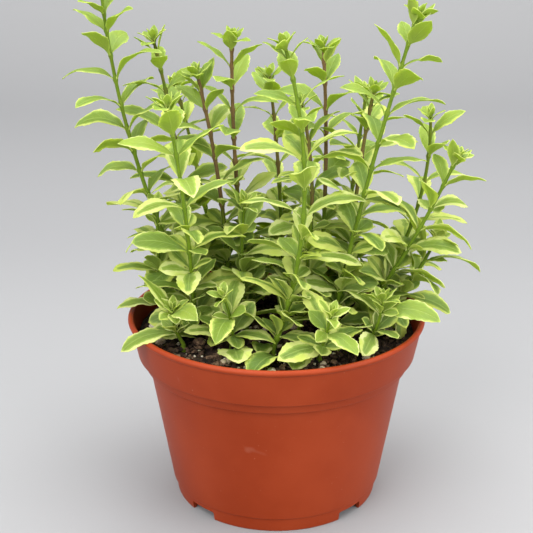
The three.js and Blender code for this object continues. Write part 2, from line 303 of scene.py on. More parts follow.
def pot_section():
    """Out from the middle of the underside, round the foot, up to the lip, and down inside to the floor."""
    rim, top = RIM_RADIUS, POT_HEIGHT
    corners = [
        (0, FOOT_HEIGHT, 0),
        (FOOT_RADIUS - 3.4 * MM, FOOT_HEIGHT, 0.8 * MM),
        (FOOT_RADIUS - POT_WALL, 0, 0.5 * MM),
        (FOOT_RADIUS, 0, 0.6 * MM),
        (FOOT_RADIUS + 1.0 * MM, 8.0 * MM, 0.15 * MM),
        (FOOT_RADIUS + 2.3 * MM, 8.8 * MM, 0.4 * MM),
        (rim - 11.0 * MM, top - 27.5 * MM, 0.15 * MM),
        (rim - 8.5 * MM, top - 26.8 * MM, 0.4 * MM),
        (rim - 7.3 * MM, top - 21.8 * MM, 0.15 * MM),
        (rim - 5.1 * MM, top - 21.2 * MM, 0.4 * MM),
        (rim - 1.5 * MM, top - 3.2 * MM, 0.5 * MM),
        (rim - 0.4 * MM, top - 2.6 * MM, 0.4 * MM),
        (rim, top - 1.4 * MM, 0.6 * MM),
        (rim - 0.9 * MM, top, 0.6 * MM),
        (rim - 2.2 * MM, top, 0.5 * MM),
        (rim - 3.1 * MM, top - 0.5 * MM, 0.5 * MM),
        (rim - 3.8 * MM, top - 3.0 * MM, 0.8 * MM),
        (rim - 7.1 * MM, top - 20.0 * MM, 0.8 * MM),
        (rim - 10.5 * MM, top - 27.0 * MM, 0.8 * MM),
        (rim - 13.1 * MM, top - 28.6 * MM, 0.8 * MM),
        (FOOT_RADIUS + 0.4 * MM, FLOOR_TOP + 2.5 * MM, 1.0 * MM),
        (FOOT_RADIUS - 1.6 * MM, FLOOR_TOP, 1.0 * MM),
        (0, FLOOR_TOP, 0),
    ]
    return rounded(corners)


# %% Plastic for the pot
def terracotta_plastic():
    """Satin red-brown plastic: a faint cloudiness, fine dust and a few pale scuffs."""
    r = Recipe("terracotta_plastic")
    place = r.object_place()
    clouds = r.noise(18, 4, place)
    base = r.mix(r.step(clouds, 0.35, 0.7), (0.238, 0.0280, 0.0048), (0.284, 0.0385, 0.0090))
    dust = r.step(r.noise(620, 2, place), 0.72, 0.80)
    base = r.mix(r.math("MULTIPLY", dust, 0.55), base, (0.40, 0.17, 0.11))
    stretch = r.node("ShaderNodeMapping")
    r.link(place, stretch.inputs["Vector"])
    stretch.inputs["Rotation"].default_value = (0.2, 0.1, 0.7)
    stretch.inputs["Scale"].default_value = (26, 260, 60)
    scuffs = r.step(r.noise(1.0, 2, stretch.outputs[0]), 0.70, 0.78)
    base = r.mix(r.math("MULTIPLY", scuffs, 0.22), base, (0.40, 0.16, 0.11))
    r.link(base, r.shader.inputs["Base Color"])
    r.link(r.math("MULTIPLY_ADD", clouds, 0.14, 0.40), r.shader.inputs["Roughness"])
    r.feed(r.shader.inputs["Specular IOR Level"], 0.14)
    grain = r.math("MULTIPLY_ADD", r.noise(900, 2, place), 0.6, r.math("MULTIPLY", clouds, 0.8))
    r.bump(grain, 0.10, 0.25 * MM)
    return r.material


# %% Build the pot
NOTCH_ANGLES = [math.radians(45 + 90 * i) for i in range(4)]
NOTCH_SIZE = (12 * MM, 17 * MM, 10 * MM)
NOTCH_ROUND = 0.8 * MM
DRAIN_ANGLES = [math.radians(45 * i) for i in range(8)]
DRAIN_RADIUS = 1.9 * MM
DRAIN_FROM_AXIS = 36 * MM


def cut_away(piece, cutters):
    """The piece with every cutter taken out of it."""
    for cutter in cutters:
        cut = piece.modifiers.new("cut", "BOOLEAN")
        cut.operation = "DIFFERENCE"
        cut.solver = "EXACT"
        cut.object = cutter
    bpy.context.view_layer.update()
    evaluated = piece.evaluated_get(bpy.context.evaluated_depsgraph_get())
    result = bpy.data.meshes.new_from_object(evaluated)
    piece.modifiers.clear()
    piece.data = result
    for cutter in cutters:
        bpy.data.objects.remove(cutter)


def notch_cutter(angle):
    """A block, rounded along its top edges, where the ring foot lets water out."""
    bm = bmesh.new()
    bmesh.ops.create_cube(bm, size=1.0)
    bmesh.ops.scale(bm, vec=NOTCH_SIZE, verts=bm.verts)
    top_edges = [e for e in bm.edges if all(v.co.z > 0 for v in e.verts)]
    bmesh.ops.bevel(
        bm, geom=top_edges, offset=NOTCH_ROUND, affect="EDGES", segments=3, profile=0.5, material=-1,
    )
    bmesh.ops.translate(bm, vec=(FOOT_RADIUS, 0, 0), verts=bm.verts)
    bmesh.ops.rotate(bm, cent=(0, 0, 0), matrix=Matrix.Rotation(angle, 3, "Z"), verts=bm.verts)
    return finish_piece("notch_cutter", bm, [])


def drain_cutter(angle):
    """A short rod through the floor of the pot."""
    bm = bmesh.new()
    middle = Matrix.Translation((DRAIN_FROM_AXIS, 0, (FOOT_HEIGHT + FLOOR_TOP) / 2))
    bmesh.ops.create_cone(
        bm, cap_ends=True, segments=24, radius1=DRAIN_RADIUS, radius2=DRAIN_RADIUS, depth=6 * MM,
        matrix=Matrix.Rotation(angle, 4, "Z") @ middle,
    )
    return finish_piece("drain_cutter", bm, [])


pot = finish_piece("nursery_pot", turned(pot_section(), POT_STEPS), [terracotta_plastic()])
cut_away(pot, [notch_cutter(a) for a in NOTCH_ANGLES] + [drain_cutter(a) for a in DRAIN_ANGLES])
SHARP_DEGREES = 32
pot.data.shade_smooth()
pot.data.set_sharp_from_angle(angle=math.radians(SHARP_DEGREES))
settle(pot, "terracotta_plastic", "pot")
print(f"pot: {len(pot.data.polygons)} faces")

# %% [markdown]
# ## Potting mix
# Fresh mix is dark, fibrous and lumpy, with bits of bark and white perlite in it. The body of the mix is a
# turned solid whose top is raised and dented by noise.

# %% The body of the mix
SOIL_TOP = 95.5 * MM
GAP = 0.35 * MM
MIX_RINGS = 64
MIX_STEPS = 200


def soil_height(x, y):
    """Height of the mix in metres at a place in metres: the broad heave that the stems are rooted in."""
    x, y = x / MM, y / MM
    calm = 1 - min(1, math.hypot(x, y) / 76) ** 4
    heave = math.sin(x / 10 + 0.6) * math.cos(y / 8.5) + 0.6 * math.sin((x - 1.7 * y) / 7)
    return SOIL_TOP + calm * (1.2 + heave) * MM


def lumps(place):
    """Fine relief of the mix: clods about 6 mm across with smaller crumbs on them."""
    clods = noise.fractal(place * 170, 1.0, 2.0, 3)
    crumbs = noise.noise(place * 640)
    return (1.8 * clods + 0.9 * crumbs) * MM


def mix_piece(material):
    """The mix up to the pot's wall, a hair clear of it, with a lumpy top."""
    edge = RIM_RADIUS - 6.1 * MM
    corners = [
        (0, mix_low.z, 0),
        (FOOT_RADIUS - 1.6 * MM - GAP, mix_low.z, 0),
        (FOOT_RADIUS + 0.4 * MM - GAP, mix_low.z + 2.5 * MM, 0),
        (RIM_RADIUS - 13.4 * MM, POT_HEIGHT - 28.2 * MM, 0),
        (RIM_RADIUS - 11.0 * MM, POT_HEIGHT - 26.6 * MM, 0),
        (RIM_RADIUS - 7.5 * MM, POT_HEIGHT - 19.6 * MM, 0),
    ]
    top = [Vector((edge * (1 - k / MIX_RINGS), 0, SOIL_TOP)) for k in range(MIX_RINGS + 1)]
    bm = turned(rounded(corners) + top, MIX_STEPS)
    for vert in bm.verts:
        if vert.co.z < SOIL_TOP - 1e-6:
            continue
        from_wall = edge - math.hypot(vert.co.x, vert.co.y)
        freedom = 0.4 + 0.6 * min(1, max(0, from_wall / (3 * MM)))
        vert.co.z = soil_height(vert.co.x, vert.co.y) + lumps(vert.co.copy()) * freedom
    return finish_piece("mix_body", bm, [material])


def earth():
    """Dark peat: near black in the pits, brown on the crests, with paler threads of fibre."""
    r = Recipe("earth")
    place = r.object_place()
    broad = r.noise(120, 5, place)
    fine = r.noise(900, 4, place)
    base = r.mix(r.step(broad, 0.35, 0.65), (0.005, 0.0035, 0.0028), (0.034, 0.019, 0.012))
    base = r.mix(r.math("MULTIPLY", r.step(fine, 0.58, 0.72), 0.75), base, (0.12, 0.070, 0.042))
    r.link(base, r.shader.inputs["Base Color"])
    r.feed(r.shader.inputs["Roughness"], 0.95)
    r.feed(r.shader.inputs["Specular IOR Level"], 0.25)
    r.bump(r.math("ADD", broad, fine), 0.8, 1.2 * MM)
    return r.material


EARTH = earth()
mix = settle(mix_piece(EARTH), "potting_mix", "potting_mix")
print(f"potting mix: {len(mix.data.polygons)} faces")

# %% [markdown]
# ## How a shoot grows
# Leaves stand on the stem in pairs, and each pair is a quarter turn from the one below. Low on the stem
# the blades are broad and lie almost level. Higher up they stand steeper, and at the tip they close.
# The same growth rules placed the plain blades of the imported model, where a blade turned or lifted when a
# neighbour barred its way. So each leaf is grown here in every such way, and the way whose points lie on
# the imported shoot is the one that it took.

# %% Growth in millimetres
COLLAR = 99.7
SHOOTS = [
    # root x y, tip x y z, bow x y, stem radius, turn of the first pair, redness of the stem
    ((-2, -40), (3, -30, 258), (13, -3), 2.0, 0, 0.25),
    ((-45, -11), (-55, -30, 228), (3, -6), 1.95, 10, 0.15),
    ((29, -22), (70, -15, 271), (-3, -4), 1.95, 20, 0.3),
    ((-43, 8), (-91.4, 12, 286), (-10, 2), 1.9, 60, 0.35),
    ((-27, 22), (-43, 18, 236), (4, -2), 2.0, 35, 0.9),
    ((-15, 28), (-24, 22, 254), (-3, 2), 2.0, 80, 0.9),
    ((24, 24), (25, 26, 249), (3, 0), 2.0, 50, 0.95),
    ((-52, 24), (-66, 20, 254), (5, 4), 1.9, 11, 0.5),
    ((42, 16), (52, 12, 228), (-3, 3), 2.0, 75, 0.6),
    ((44, -6), (95.5, -6, 196), (2, -4), 1.9, 40, 0.2),
    ((54, 24), (84, 22, 212), (10, 2), 1.9, 5, 0.4),
    ((10, 6), (13, 8, 221), (8, 4), 1.9, 30, 0.6),
    ((-17, -4), (-17, -7, 171), (-2, 2), 1.9, 65, 0.3),
    ((4, 50), (-4, 53, 229), (2, 6), 1.9, 20, 0.6),
    ((38, 46), (52, 58, 218), (0, 5), 1.9, 55, 0.4),
    ((-34, 48), (-58, 60, 222), (2, 4), 1.9, 80, 0.5),
    ((58, 4), (88, 0, 150), (2, -3), 1.8, 84, 0.2),
    ((-62, 6), (-64, 0, 168), (-2, 0), 1.7, 25, 0.2),
    ((-50, -32), (-54, -38, 122), (-2, 0), 1.6, 45, 0.1),
    ((-24, -34), (-28, -44, 132), (2, -2), 1.6, 0, 0.1),
    ((22, -48), (27, -62, 129), (0, -2), 1.6, 30, 0.1),
    ((48, -31), (55, -37, 128), (2, -2), 1.6, 60, 0.15),
    ((12, -14), (16, -20, 150), (2, 0), 1.7, 15, 0.2),
    ((0, 60), (6, 65, 154), (0, 2), 1.6, 40, 0.3),
]
# Place on the stem, then a leaf's length, width, rise and arch there, and the way up to the next pair.
HABIT = np.array([
    (0.0, 25, 11.5, 28, 42, 9),
    (0.3, 30, 12, 38, 60, 12),
    (0.7, 33, 10.5, 50, 66, 14.5),
    (0.88, 23, 8.5, 54, 42, 10),
    (1.0, 9, 4, 66, 12, 5),
])
FIRST_PAIR = 7
TIP_ROOM = 3
SMALLEST_CAD_LEAF = 13
# Turn, lift and share of full length, in the order in which a barred leaf tries them.
WAYS = [
    (0, 0, 1), (14, 0, 1), (-14, 0, 1), (0, 14, 1), (0, -12, 1), (24, 10, 0.9), (-24, 10, 0.9),
    (0, 24, 0.9), (32, 0, 0.8), (-32, 0, 0.8), (0, 0, 0.7), (18, 28, 0.7), (-18, 28, 0.7),
]
FOLD = math.radians(14)
BASAL = {"count": 18, "ring": 50, "long": 28, "wide": 12.5, "rise": 46, "arch": 55}
Z = Vector((0, 0, 1))


def chance(seed):
    """A repeatable number from 0 to 1 for each seed."""
    return (math.sin(seed * 12.9898 + 4.1414) * 43758.5453) % 1


def spread(seed, amount):
    return (chance(seed) * 2 - 1) * amount


class Stem:
    """A stem's path from the collar to the tip, with directions square to it."""

    def __init__(self, number):
        root, tip, bow, self.radius, self.turn, self.redness = SHOOTS[number - 1]
        self.number = number
        self.start, self.end = Vector((*root, COLLAR)), Vector(tip)
        middle = (self.start + self.end) / 2 + Vector((*bow, 0))
        self.control = middle * 2 - (self.start + self.end) / 2
        points = [self.point(i / 200) for i in range(201)]
        self.length = sum((b - a).length for a, b in zip(points, points[1:]))

    def point(self, t):
        return self.start * (1 - t) ** 2 + self.control * (2 * t * (1 - t)) + self.end * t**2

    def frame(self, t):
        along = ((self.control - self.start) * (1 - t) + (self.end - self.control) * t).normalized()
        across = (Vector((1, 0, 0)) - along * along.x).normalized()
        return self.point(t), along, across, along.cross(across)

    def radius_at(self, t):
        return self.radius * (1 - 0.35 * t)


def stem_leaves(stem):
    """Every leaf of a shoot, pair by pair from the root up, before it meets its neighbours."""
    leaves, height, pair = [], FIRST_PAIR, 0
    while height < stem.length - TIP_ROOM:
        t = height / stem.length
        long, wide, rise, arch, gap = (np.interp(t, HABIT[:, 0], HABIT[:, k]) for k in range(1, 6))
        origin, along, across, aside = stem.frame(t)
        for half in (0, 1):
            seed = stem.number * 100 + pair * 2 + half
            angle = math.radians(stem.turn + 90 * pair + 180 * half + spread(seed, 12))
            size = 1 + spread(seed + 0.3, 0.14)
            leaves.append({
                "seed": seed, "t": t, "origin": origin, "up": along,
                "out": across * math.cos(angle) + aside * math.sin(angle),
                "from_axis": stem.radius_at(t) * 0.4, "long": long * size, "wide": wide * size,
                "rise": rise + spread(seed + 0.5, 9), "arch": arch + spread(seed + 0.7, 14),
                "roll": spread(seed + 0.9, 12),
            })
        height += gap * (1 + spread(stem.number * 100 + pair + 0.2, 0.12))
        pair += 1
    return leaves


def taken(leaf, way):
    """The leaf as it is when it goes that way, with its angles in radians."""
    turn, lift, share = way
    out = Matrix.Rotation(math.radians(turn), 3, leaf["up"]) @ leaf["out"]
    return leaf | {
        "out": out, "base": leaf["origin"] + out * leaf["from_axis"],
        "rise": math.radians(leaf["rise"] + lift), "arch": math.radians(leaf["arch"]),
        "roll": math.radians(leaf["roll"]), "long": leaf["long"] * share,
        "wide": leaf["wide"] * (0.4 + 0.6 * share),
    }


def outline(t):
    """How wide a packed blade is, from 0 to 1, at a share of its length."""
    u = np.clip((t - 0.08) / 0.92, 0, 1)
    return (u / 0.58) ** (0.75 * 0.58 / 0.42) * ((1 - u) / 0.42) ** 0.75


def blade_points(leaf, t, across, above):
    """Places in mm for arrays of shares along the blade, and mm across it and above it."""
    t, across, above = (np.asarray(a, float)[:, None] for a in (t, across, above))
    out, up = np.array(leaf["out"]), np.array(leaf["up"])
    aside = np.cross(up, out)
    turned = leaf["rise"] - leaf["arch"] * t
    forward = (math.sin(leaf["rise"]) - np.sin(turned)) / leaf["arch"] * leaf["long"]
    lifted = (np.cos(turned) - math.cos(leaf["rise"])) / leaf["arch"] * leaf["long"]
    normal = up * np.cos(turned) - out * np.sin(turned)
    side = aside * math.cos(leaf["roll"]) + normal * math.sin(leaf["roll"])
    normal = normal * math.cos(leaf["roll"]) - aside * math.sin(leaf["roll"])
    return np.array(leaf["base"]) + out * forward + up * lifted + side * across + normal * above


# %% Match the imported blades
TOUCH_MM = 0.08


def tree_of(node):
    mesh = nodes[node].data
    return BVHTree.FromPolygons([v.co for v in mesh.vertices], [p.vertices for p in mesh.polygons])


def way_taken(leaf, tree):
    """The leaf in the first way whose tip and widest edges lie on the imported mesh, or None."""
    for way in WAYS:
        grown = taken(leaf, way)
        half = grown["wide"] / 2 * float(outline(0.4))
        edge, rise = half * math.cos(FOLD), half * math.sin(FOLD)
        for point in blade_points(grown, [1, 0.4, 0.4], [0, edge, -edge], [0, rise, rise]):
            if tree.find_nearest(Vector(point) * MM)[3] > TOUCH_MM * MM:
                break
        else:
            return grown
    return None


def basal_leaves():
    """The low leaves that found room, in the order of their nodes."""
    found = []
    for i in range(BASAL["count"] * 4):
        if len(found) == BASAL["count"]:
            break
        seed = 5000 + i
        angle = math.radians(i * 137.5 - 90)
        away = BASAL["ring"] * (0.55 + 0.45 * chance(seed))
        x, y = math.cos(angle) * away, math.sin(angle) * away
        facing = angle + math.radians(spread(seed + 0.2, 50))
        size = 1 + spread(seed + 0.4, 0.2)
        leaf = {
            "seed": seed, "t": 0.0, "up": Z, "out": Vector((math.cos(facing), math.sin(facing), 0)),
            "origin": Vector((x, y, soil_height(x * MM, y * MM) / MM + GAP / MM + 0.6)),
            "from_axis": 0, "long": BASAL["long"] * size, "wide": BASAL["wide"] * size,
            "rise": BASAL["rise"] + spread(seed + 0.6, 14), "arch": BASAL["arch"],
            "roll": spread(seed + 0.8, 15),
        }
        grown = way_taken(leaf, tree_of(f"basal_leaf_{len(found) + 1:02d}"))
        if grown:
            found.append(grown)
    return found


stems = [Stem(number) for number in range(1, len(SHOOTS) + 1)]
foliage = {}
for stem in stems:
    tree = tree_of(f"shoot_{stem.number:02d}")
    grown = []
    for leaf in stem_leaves(stem):
        young = leaf["long"] < SMALLEST_CAD_LEAF
        leaf = taken(leaf, WAYS[0]) if young else way_taken(leaf, tree)
        if leaf:
            grown.append(leaf)
    foliage[stem.number] = grown
low_leaves = basal_leaves()
print(f"{sum(map(len, foliage.values()))} leaves on {len(stems)} stems, {len(low_leaves)} low leaves")

# %% [markdown]
# ## Leaf skin
# Each leaf has a green middle and a creamy margin whose border wanders, because the pale cells grow from
# the edge in patches. Young leaves at the tips show only a thin pale rim, and some halfway up are more
# cream than green. The underside is paler and duller, its veins stand proud, and light comes through.
# The blade's own map gives the place along it (U) and across it (V), so the pattern follows each leaf.


# %% Leaf materials
def leaf_skin(name, upper):
    r = Recipe(name)
    across = r.node("ShaderNodeSeparateXYZ")
    r.link(r.node("ShaderNodeUVMap", uv_map="blade").outputs[0], across.inputs[0])
    u, v = across.outputs[0], across.outputs[1]
    side = r.math("ABSOLUTE", r.math("MULTIPLY_ADD", v, 2.0, -1.0))
    trait = {
        key: r.node("ShaderNodeAttribute", attribute_name=key).outputs["Fac"]
        for key in ("cream", "age", "tint")
    }
    place = r.object_place()

    # Distance to the margin: 1 on the edge and at the tip, 0 along the middle.
    tip = r.step(u, 0.80, 1.04)
    edge = r.math("MAXIMUM", side, tip)
    patches = r.noise(210, 3, place, 0.6)
    blotches = r.noise(75, 2, place)
    ragged = r.math("MULTIPLY_ADD", r.math("SUBTRACT", patches, 0.5), 0.55, edge)
    ragged = r.math("MULTIPLY_ADD", r.math("SUBTRACT", blotches, 0.5), 0.75, ragged)
    border = r.math("SUBTRACT", 1.0, trait["cream"])
    cream = r.step(r.math("SUBTRACT", ragged, border), -0.035, 0.045)
    halo = r.step(r.math("SUBTRACT", ragged, border), -0.26, -0.10)

    # Green: lime when young, a dusty mid green when old, different from leaf to leaf.
    young = r.mix(trait["tint"], (0.262, 0.362, 0.042), (0.358, 0.452, 0.070))
    old = r.mix(trait["tint"], (0.146, 0.236, 0.040), (0.240, 0.335, 0.062))
    green = r.mix(trait["age"], young, old)
    green = r.mix(r.math("MULTIPLY", r.step(blotches, 0.38, 0.66), 0.35), green, (0.190, 0.310, 0.120))
    green = r.mix(r.math("MULTIPLY", halo, 0.6), green, (0.440, 0.560, 0.120))
    pale = r.mix(trait["tint"], (0.680, 0.715, 0.190), (0.830, 0.835, 0.400))
    pale = r.mix(r.step(blotches, 0.40, 0.70), pale, (0.600, 0.670, 0.130))
    skin = r.mix(cream, green, pale)

    # A fine midrib, and side veins that run forward to the margin.
    midrib = r.math("SUBTRACT", 1.0, r.step(side, 0.02, 0.09))
    slanted = r.math("MULTIPLY", r.math("MULTIPLY_ADD", side, -0.30, u), 7.0)
    wave = r.math("ABSOLUTE", r.math("MULTIPLY_ADD", r.math("FRACT", slanted), 2.0, -1.0))
    veins = r.math("MULTIPLY", r.step(wave, 0.80, 0.98), r.step(side, 0.98, 0.60))
    marks = r.math("MAXIMUM", midrib, r.math("MULTIPLY", veins, 0.55))
    skin = r.mix(r.math("MULTIPLY", marks, 0.45), skin, (0.500, 0.620, 0.160))
    specks = r.step(r.noise(520, 2, place), 0.735, 0.765)
    spotted = r.math("MULTIPLY", specks, r.math("MULTIPLY", trait["age"], 0.65))
    skin = r.mix(spotted, skin, (0.22, 0.13, 0.05))
    if not upper:
        skin = r.mix(0.42, skin, (0.470, 0.555, 0.110))

    r.link(skin, r.shader.inputs["Base Color"])
    r.feed(r.shader.inputs["Roughness"], 0.52 if upper else 0.72)
    r.feed(r.shader.inputs["Specular IOR Level"], 0.26 if upper else 0.15)
    puckers = r.math("MULTIPLY_ADD", patches, 0.5, r.math("MULTIPLY", marks, -0.9 if upper else 0.9))
    normal = r.bump(puckers, 0.55, 0.5 * MM)
    glow = r.node("ShaderNodeBsdfTranslucent")
    r.link(r.mix(0.62, skin, (0.66, 0.82, 0.0)), glow.inputs["Color"])
    r.link(normal, glow.inputs["Normal"])
    both = r.node("ShaderNodeMixShader")
    both.inputs[0].default_value = 0.46
    r.link(r.shader.outputs[0], both.inputs[1])
    r.link(glow.outputs[0], both.inputs[2])
    r.link(both.outputs[0], r.output.inputs["Surface"])
    return r.material


LEAF_UPPER = leaf_skin("leaf_upper", True)
LEAF_UNDER = leaf_skin("leaf_under", False)

# %% [markdown]
# ## One flat blade, warped into every leaf
# A leaf is a closed sheet under half a millimetre thick. It is made flat once, as a grid given a
# thickness. Each copy is then bent along its own arc, folded along the midrib, and given teeth, waves and
# a little twist, so that no two leaves on the plant are alike.
# Small leaves take a coarser blade, because there are many of them.


# %% The flat blade
def flat_blade(name, along, across):
    """A sheet with x from 0 to 1 along it, y from -1 to 1 across it, and z 0 above and -1 below."""
    bm = bmesh.new()
    bmesh.ops.create_grid(bm, x_segments=along, y_segments=across, size=1.0)
    for vert in bm.verts:
        vert.co.x = (vert.co.x + 1) / 2
    bmesh.ops.solidify(bm, geom=list(bm.faces), thickness=1.0)
    bmesh.ops.recalc_face_normals(bm, faces=bm.faces)
    lowest = min(v.co.z for v in bm.verts)
    highest = max(v.co.z for v in bm.verts)
    for vert in bm.verts:
        vert.co.z = (vert.co.z - highest) / (highest - lowest)
    uv = bm.loops.layers.uv.new("blade")
    for face in bm.faces:
        for loop in face.loops:
            loop[uv].uv = (loop.vert.co.x, (loop.vert.co.y + 1) / 2)
        if all(v.co.z < -0.5 for v in face.verts):
            face.material_index = 1
    mesh = bpy.data.meshes.new(name)
    bm.to_mesh(mesh)
    bm.free()
    return mesh


def points_of(mesh):
    flat = np.empty(len(mesh.vertices) * 3)
    mesh.vertices.foreach_get("co", flat)
    return flat.reshape(-1, 3)


LARGE_STEPS = 18
LARGE_BLADE = flat_blade("large_blade", along=LARGE_STEPS, across=6)
SMALL_BLADE = flat_blade("small_blade", along=7, across=4)
print(f"large blade {len(LARGE_BLADE.polygons)} faces, small blade {len(SMALL_BLADE.polygons)} faces")


# %% Warp a blade
TOOTH = 0.042
WAVE = 0.085
MOST_TWIST = 38
STALK_SHARE = 0.12


def leaf_half_width(leaf, t):
    """Half of the leaf's width in mm: spear-shaped when young, broader beyond the middle when old."""
    age = leaf_traits(leaf)[1]
    widest = 0.47 + 0.09 * age + spread(leaf["seed"] + 0.35, 0.04)
    blunt = 0.98 - 0.22 * age
    u = np.clip((t - 0.05) / 0.95, 0, 1)
    shape = (u / widest) ** (blunt * widest / (1 - widest)) * ((1 - u) / (1 - widest)) ** blunt
    fullness = 1.04 + 0.28 * chance(leaf["seed"] + 0.37)
    return np.maximum(leaf["wide"] / 2 * fullness * shape, 0.12 + 0.50 * (1 - t))


def warped(leaf, flat, toothed):
    """The flat blade's points as this leaf, in metres."""
    t, s, z = flat[:, 0], flat[:, 1], flat[:, 2]
    seed = leaf["seed"]
    half = leaf_half_width(leaf, t)
    stalk = np.clip(t / STALK_SHARE, 0, 1)
    if toothed:
        tooth = np.where(np.round(t * LARGE_STEPS) % 2 == 0, 1.0, -1.0)
        half = half * (1 + TOOTH * tooth * np.abs(s) ** 2 * np.clip((t - 0.3) / 0.15, 0, 1))
    side = np.abs(s)
    fold = FOLD * (1.0 + spread(seed + 0.11, 0.5)) * stalk
    softness = 0.02
    valley = np.sqrt(side**2 + softness) - math.sqrt(softness)
    across = half * s * np.cos(fold)
    above = half * valley * np.sin(fold)
    above -= half * (0.10 + 0.10 * chance(seed + 0.13)) * side**3 * stalk
    waves = np.sin(math.tau * (t * (1.6 + chance(seed + 0.15)) + chance(seed + 0.17)) + 1.2 * np.sign(s))
    above += WAVE * half * waves * side**2 * stalk
    across += leaf["wide"] * 0.10 * spread(seed + 0.19, 1) * t**2
    thick = 0.24 + 0.22 * (1 - side) ** 2 + 0.5 * (1 - stalk)
    above += z * thick
    twist = math.radians(spread(seed + 0.21, MOST_TWIST)) * t
    twisted_across = across * np.cos(twist) - above * np.sin(twist)
    twisted_above = across * np.sin(twist) + above * np.cos(twist)
    return blade_points(leaf, t, twisted_across, twisted_above) * MM


CREAMIEST = 155
CREAMY_REACH = 42
PLAIN_ABOVE = 195


def leaf_traits(leaf):
    """How creamy, how old and how bright one leaf is, each from 0 to 1."""
    seed, t, height = leaf["seed"], leaf["t"], leaf["origin"].z
    age = min(1, max(0, (0.95 - t) / 0.60 + spread(seed + 0.23, 0.18)))
    low = min(1, max(0, (0.80 - t) / 0.5))
    halfway = math.exp(-(((height - CREAMIEST) / CREAMY_REACH) ** 2))
    high = min(1, max(0, (height - PLAIN_ABOVE) / 40))
    rim = (0.04 + 0.14 * chance(seed + 0.27)) * (1 - 0.7 * high)
    cream = rim + (0.22 * low + 0.36 * halfway) * chance(seed + 0.29)
    if chance(seed + 0.31) < 0.05 + 0.06 * low + 0.34 * halfway:
        cream += 0.30
    return min(cream, 0.97), age, chance(seed + 0.33)


def leaf_cluster(name, large, small):
    """One object with every large and small leaf given."""
    bm = bmesh.new()
    points, traits = [], []
    for blade, leaves in ((LARGE_BLADE, large), (SMALL_BLADE, small)):
        flat = points_of(blade)
        for leaf in leaves:
            bm.from_mesh(blade)
            points.append(warped(leaf, flat, blade is LARGE_BLADE))
            traits.append(np.tile(leaf_traits(leaf), (len(flat), 1)))
    mesh = bpy.data.meshes.new(name)
    bm.to_mesh(mesh)
    bm.free()
    mesh.vertices.foreach_set("co", np.concatenate(points).astype(np.float32).ravel())
    for k, key in enumerate(("cream", "age", "tint")):
        values = np.concatenate(traits)[:, k].astype(np.float32)
        mesh.attributes.new(key, "FLOAT", "POINT").data.foreach_set("value", values)
    for material in (LEAF_UPPER, LEAF_UNDER):
        mesh.materials.append(material)
    mesh.update()
    mesh.shade_smooth()
    mesh.set_sharp_from_angle(angle=math.radians(62))
    piece = bpy.data.objects.new(name, mesh)
    bpy.context.collection.objects.link(piece)
    return piece


# %% [markdown]
# ## Side leaves
# Low on a shoot a bud wakes in each leaf's corner with the stem and opens one or two small leaves. They
# fill the foot of the plant and make it look bushy. Another few close round the very tip.


# %% Small leaves in the corners
SIDE_LEAVES_UP_TO = 62
SIDE_LONG, SIDE_WIDE = 15, 7.5
BUD_LEAVES = 8


def side_leaves(stem, leaves):
    """Small leaves that stand up from the corner between each lower leaf and the stem."""
    small = []
    side_limit = SIDE_LEAVES_UP_TO / stem.length
    for leaf in leaves:
        seed, up = leaf["seed"], leaf["up"]
        if leaf["t"] > side_limit or leaf["long"] < SMALLEST_CAD_LEAF:
            continue
        vigour = 1.15 - 0.55 * leaf["t"]
        for k in range(2 if leaf["t"] < 0.6 * side_limit else 1):
            size = vigour * (1 + spread(seed + 0.41 + k, 0.3))
            turn = math.radians(90 * k - 45 + spread(seed + k, 22))
            small.append({
                "seed": seed + 0.5 + 3 * k, "t": min(1, leaf["t"] + 0.2), "up": up,
                "origin": leaf["origin"] + up * (1.2 + 1.2 * k),
                "out": Matrix.Rotation(turn, 3, up) @ leaf["out"], "from_axis": leaf["from_axis"],
                "long": SIDE_LONG * size, "wide": SIDE_WIDE * size,
                "rise": 42 + 16 * k + spread(seed + 0.47 + k, 12), "arch": 34,
                "roll": spread(seed + k, 20),
            })
    return [taken(leaf, WAYS[0]) for leaf in small]


def bud_leaves(stem):
    """The closed young leaves that make the very tip of a shoot."""
    origin, along, across, aside = stem.frame(1.0)
    buds = []
    for k in range(BUD_LEAVES):
        seed = stem.number * 100 + 80 + k
        angle = math.radians(stem.turn + 137.5 * k + spread(seed, 15))
        buds.append(taken({
            "seed": seed, "t": 1.0, "origin": origin - along * (0.5 * k), "up": along,
            "out": across * math.cos(angle) + aside * math.sin(angle), "from_axis": 0.3,
            "long": 4.5 + 1.25 * k, "wide": 2.3 + 0.58 * k, "rise": 86 - 7.5 * k, "arch": 10 + 4 * k,
            "roll": 0,
        }, WAYS[0]))
    return buds


leaf_total = 0
for stem in stems:
    leaves = foliage[stem.number]
    large = [leaf for leaf in leaves if leaf["long"] >= SMALLEST_CAD_LEAF]
    small = [leaf for leaf in leaves if leaf["long"] < SMALLEST_CAD_LEAF]
    small += side_leaves(stem, leaves) + bud_leaves(stem)
    cluster = leaf_cluster(f"shoot_{stem.number:02d}_leaves", large, small)
    settle(cluster, "foliage", f"shoot_{stem.number:02d}")
    leaf_total += len(large) + len(small)
for number, leaf in enumerate(low_leaves, 1):
    piece = leaf_cluster(f"low_leaf_{number:02d}", [leaf], [])
    settle(piece, "foliage", f"basal_leaf_{number:02d}")
print(f"{leaf_total} leaves on the shoots")

# %% [markdown]
# ## Stems
# A stem is round, softly hairy and a little thicker at each joint, where the pair of leaves sits. Most
# are green, and the stems behind turn reddish brown towards the top. Each is a straight turned rod that
# is bent along its shoot's path.


